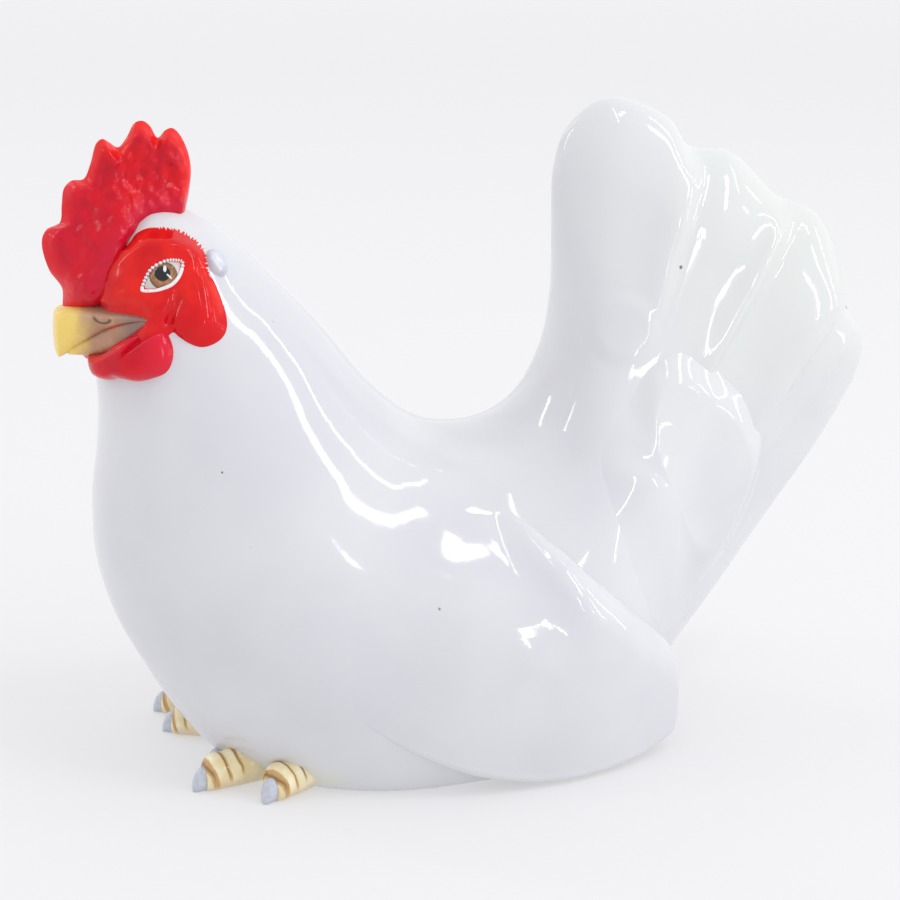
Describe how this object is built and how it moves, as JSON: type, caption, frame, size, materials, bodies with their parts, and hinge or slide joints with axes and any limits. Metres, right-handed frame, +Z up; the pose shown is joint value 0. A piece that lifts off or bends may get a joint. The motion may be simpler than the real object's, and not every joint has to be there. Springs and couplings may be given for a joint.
{
  "type": "porcelain hen figurine",
  "caption": "Glossy white porcelain hen sitting with a raised fan tail, red comb and face, yellow beak and toes, on a flat foot.",
  "frame": {"origin": "on the resting surface, under the middle of the figure", "axes": "+Z up; the hen faces -X and its left side is towards -Y"},
  "size_m": [0.1671, 0.0852, 0.1274],
  "materials": {
    "white_glaze": "gloss white glaze over porcelain",
    "biscuit": "bare fired porcelain, matt",
    "comb_red": "crimson overglaze, gloss",
    "face_red": "scarlet overglaze, gloss",
    "wattle_red": "red overglaze, gloss",
    "beak_yellow": "yellow to horn brown overglaze, gloss",
    "beak_horn": "horn overglaze, gloss",
    "lobe_grey": "blue grey overglaze, gloss",
    "eye_brown": "painted iris and pupil, gloss",
    "rim_white": "white and brown painted lid, gloss",
    "toe_yellow": "pale yellow overglaze with brown bands, gloss",
    "claw_grey": "blue grey overglaze, gloss"
  },
  "bodies": {
    "root": {"body": "white_glaze", "head": "white_glaze", "tail": "white_glaze", "foot_slab": "biscuit", "comb": "comb_red", "upper_beak": "beak_yellow", "lower_beak": "beak_horn", "left_wing": "white_glaze", "left_tail_covert": "white_glaze", "left_face": "face_red", "left_ear_lobe": "lobe_grey", "left_eye": "eye_brown", "left_eye_rim": "rim_white", "left_wattle": "wattle_red", "left_inner_toe": "toe_yellow", "left_middle_toe": "toe_yellow", "left_outer_toe": "toe_yellow", "left_claws": "claw_grey", "right_wing": "white_glaze", "right_tail_covert": "white_glaze", "right_face": "face_red", "right_ear_lobe": "lobe_grey", "right_eye": "eye_brown", "right_eye_rim": "rim_white", "right_wattle": "wattle_red", "right_inner_toe": "toe_yellow", "right_middle_toe": "toe_yellow", "right_outer_toe": "toe_yellow", "right_claws": "claw_grey"}
  },
  "joints": []
}
